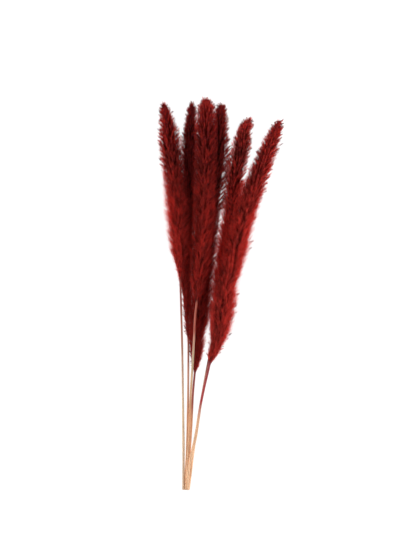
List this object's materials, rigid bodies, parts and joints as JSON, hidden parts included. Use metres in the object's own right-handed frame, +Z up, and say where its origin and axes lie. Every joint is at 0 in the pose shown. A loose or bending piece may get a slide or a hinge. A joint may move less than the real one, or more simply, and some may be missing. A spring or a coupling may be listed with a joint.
{
  "type": "dried pampas grass bunch",
  "caption": "Small loose bunch of dried pampas grass, dyed wine red, with tufted plumes on thin bare cut stems, lying flat.",
  "frame": {"origin": "on the surface that the bunch lies on, under the middle of its bounding box", "axes": "+Y from the cut ends towards the plume tips, +X across the fan, +Z up from the surface"},
  "size_m": [0.1882, 0.6, 0.0459],
  "materials": {
    "stem": "dry straw-coloured grass stem, satin, dyed crimson near some plumes",
    "plume": "matt silky grass hair dyed wine red"
  },
  "bodies": {
    "root": {"stem_1": "stem", "stem_2": "stem", "stem_3": "stem", "stem_4": "stem", "stem_5": "stem", "stem_6": "stem", "plume_1": "plume", "plume_2": "plume", "plume_3": "plume", "plume_4": "plume", "plume_5": "plume", "plume_6": "plume"}
  },
  "joints": []
}
